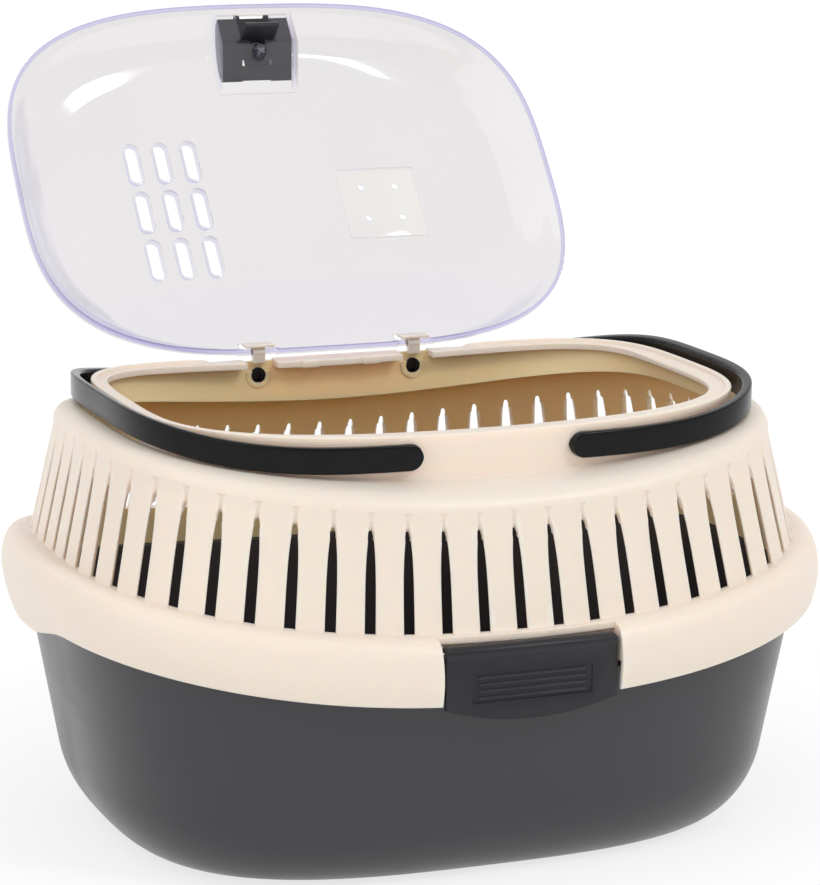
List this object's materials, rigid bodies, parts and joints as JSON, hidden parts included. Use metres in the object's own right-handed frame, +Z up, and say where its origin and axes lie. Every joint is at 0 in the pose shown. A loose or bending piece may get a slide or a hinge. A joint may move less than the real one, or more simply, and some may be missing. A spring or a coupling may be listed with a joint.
{
  "type": "plastic pet keeper",
  "caption": "Portable small-pet keeper: a deep rounded tub, a slatted cover with a lapped flange, a clear domed lid hinged open at the rear, carrying bails and snap latches.",
  "frame": {"origin": "centre of the flat underside of the tub", "axes": "+X to the right along the long side, -Y to the front where the main latch is, +Z up through the mouth"},
  "size_m": [0.4, 0.41, 0.3874],
  "materials": {
    "tub_plastic": "moulded charcoal polypropylene, fine satin grain",
    "cover_plastic": "moulded cream polypropylene, satin, slightly translucent",
    "handle_plastic": "moulded black, glossy",
    "clear_plastic": "clear polystyrene with a faint violet tint at the edges, polished",
    "latch_plastic": "moulded dark grey, satin",
    "spring_steel": "plain steel wire and rod"
  },
  "bodies": {
    "carrier": {"base_tub": "tub_plastic", "top_cover": "cover_plastic", "hinge_clip_left": "cover_plastic", "hinge_clip_right": "cover_plastic", "front_latch_pin": "spring_steel", "rear_latch_pin": "spring_steel"},
    "lid": {"lid_shell": "clear_plastic", "lid_latch_retainer": "latch_plastic", "lid_latch_spring": "spring_steel", "lid_latch_screw": "spring_steel"},
    "lid_latch": {"lid_latch_slider": "latch_plastic"},
    "bail_left": {"handle_left": "handle_plastic"},
    "bail_right": {"handle_right": "handle_plastic"},
    "front_snap": {"front_latch": "latch_plastic"},
    "rear_snap": {"rear_latch": "latch_plastic"}
  },
  "joints": [
    {"name": "lid_hinge", "type": "hinge", "parent": "carrier", "child": "lid", "pos_m": [0, 0.108, 0.2177], "axis": [1, 0, 0], "range_deg": [0, 129.9]},
    {"name": "lid_latch_slide", "type": "slide", "parent": "lid", "child": "lid_latch", "axis": [0, -0.6414, -0.7672], "range_m": [0, 0.0025], "stiffness_N_per_m": 400, "deforming": ["lid_latch_spring"]},
    {"name": "bail_left_swing", "type": "hinge", "parent": "carrier", "child": "bail_left", "pos_m": [-0.0432, 0, 0.2053], "axis": [0, 1, 0], "range_deg": [0, 4]},
    {"name": "bail_right_swing", "type": "hinge", "parent": "carrier", "child": "bail_right", "pos_m": [0.0432, 0, 0.2053], "axis": [0, -1, 0], "range_deg": [0, 4]},
    {"name": "front_latch_swing", "type": "hinge", "parent": "carrier", "child": "front_snap", "pos_m": [0, -0.1554, 0.1212], "axis": [-1, 0, 0], "range_deg": [0, 70]},
    {"name": "rear_latch_swing", "type": "hinge", "parent": "carrier", "child": "rear_snap", "pos_m": [0, 0.1554, 0.1212], "axis": [1, 0, 0], "range_deg": [0, 70]}
  ]
}
